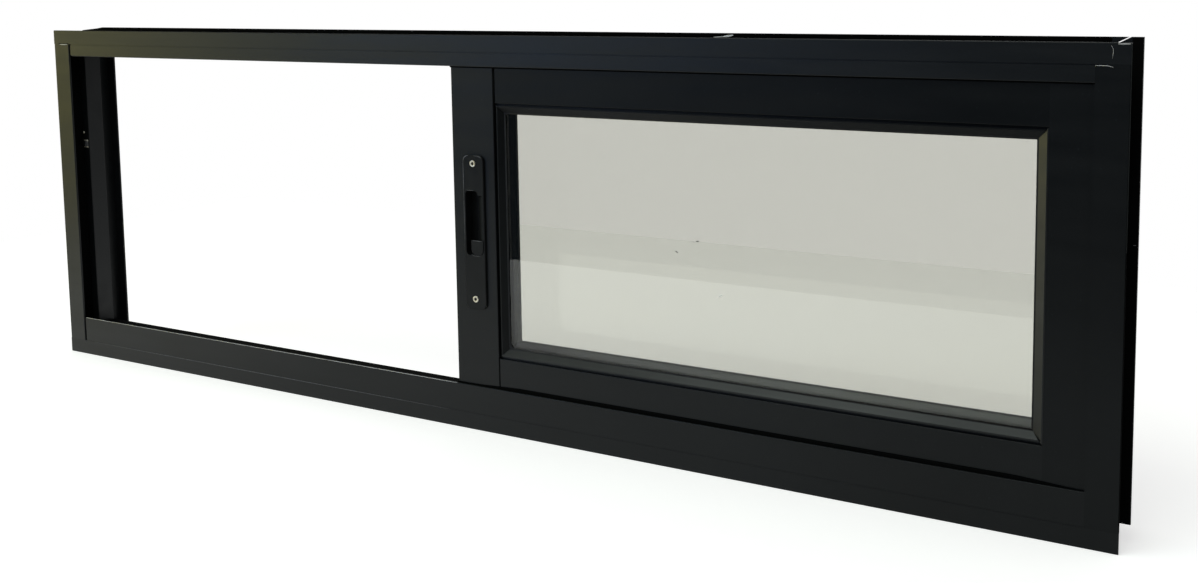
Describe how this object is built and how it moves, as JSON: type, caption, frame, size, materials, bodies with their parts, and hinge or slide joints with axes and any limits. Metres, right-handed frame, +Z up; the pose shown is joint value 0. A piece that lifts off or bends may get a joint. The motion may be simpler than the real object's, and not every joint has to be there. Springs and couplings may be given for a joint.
{
  "type": "horizontal sliding window",
  "caption": "Wide low sliding window: black aluminium frame, a fixed light behind and a latched sash slid open in front of it, with rear fixing fins.",
  "frame": {"origin": "middle of the frame's footprint on the floor it stands on", "axes": "+Z up, +X along the width towards the sash, -Y out of the latch side"},
  "size_m": [1.2764, 0.0676, 0.4032],
  "materials": {
    "frame": "black powder coat, satin",
    "panel": "black powder coat, satin",
    "glass": "clear float glass",
    "gasket": "matt black rubber",
    "nylon": "moulded nylon",
    "packer": "moulded black plastic",
    "latch": "black painted casting",
    "steel": "bright zinc plate"
  },
  "bodies": {
    "root": {"left_jamb": "frame", "right_jamb": "frame", "head": "frame", "sill": "frame", "sash_lock_stile": "panel", "sash_pull_stile": "panel", "sash_top_rail": "panel", "sash_bottom_rail": "panel", "sash_interlock": "panel", "fixed_meeting_stile": "panel", "fixed_jamb_stile": "panel", "fixed_top_rail": "panel", "fixed_bottom_rail": "panel", "fixed_interlock": "panel", "sash_left_bead": "panel", "sash_right_bead": "panel", "sash_top_bead": "panel", "sash_bottom_bead": "panel", "fixed_left_bead": "panel", "fixed_right_bead": "panel", "fixed_top_bead": "panel", "fixed_bottom_bead": "panel", "sash_glass": "glass", "fixed_glass": "glass", "sash_gasket": "gasket", "fixed_gasket": "gasket", "left_roller": "nylon", "right_roller": "nylon", "fixed_left_packer": "packer", "fixed_right_packer": "packer", "left_roller_cage": "packer", "right_roller_cage": "packer", "latch_plate": "latch", "latch_slider": "latch", "keeper": "steel"}
  },
  "joints": []
}
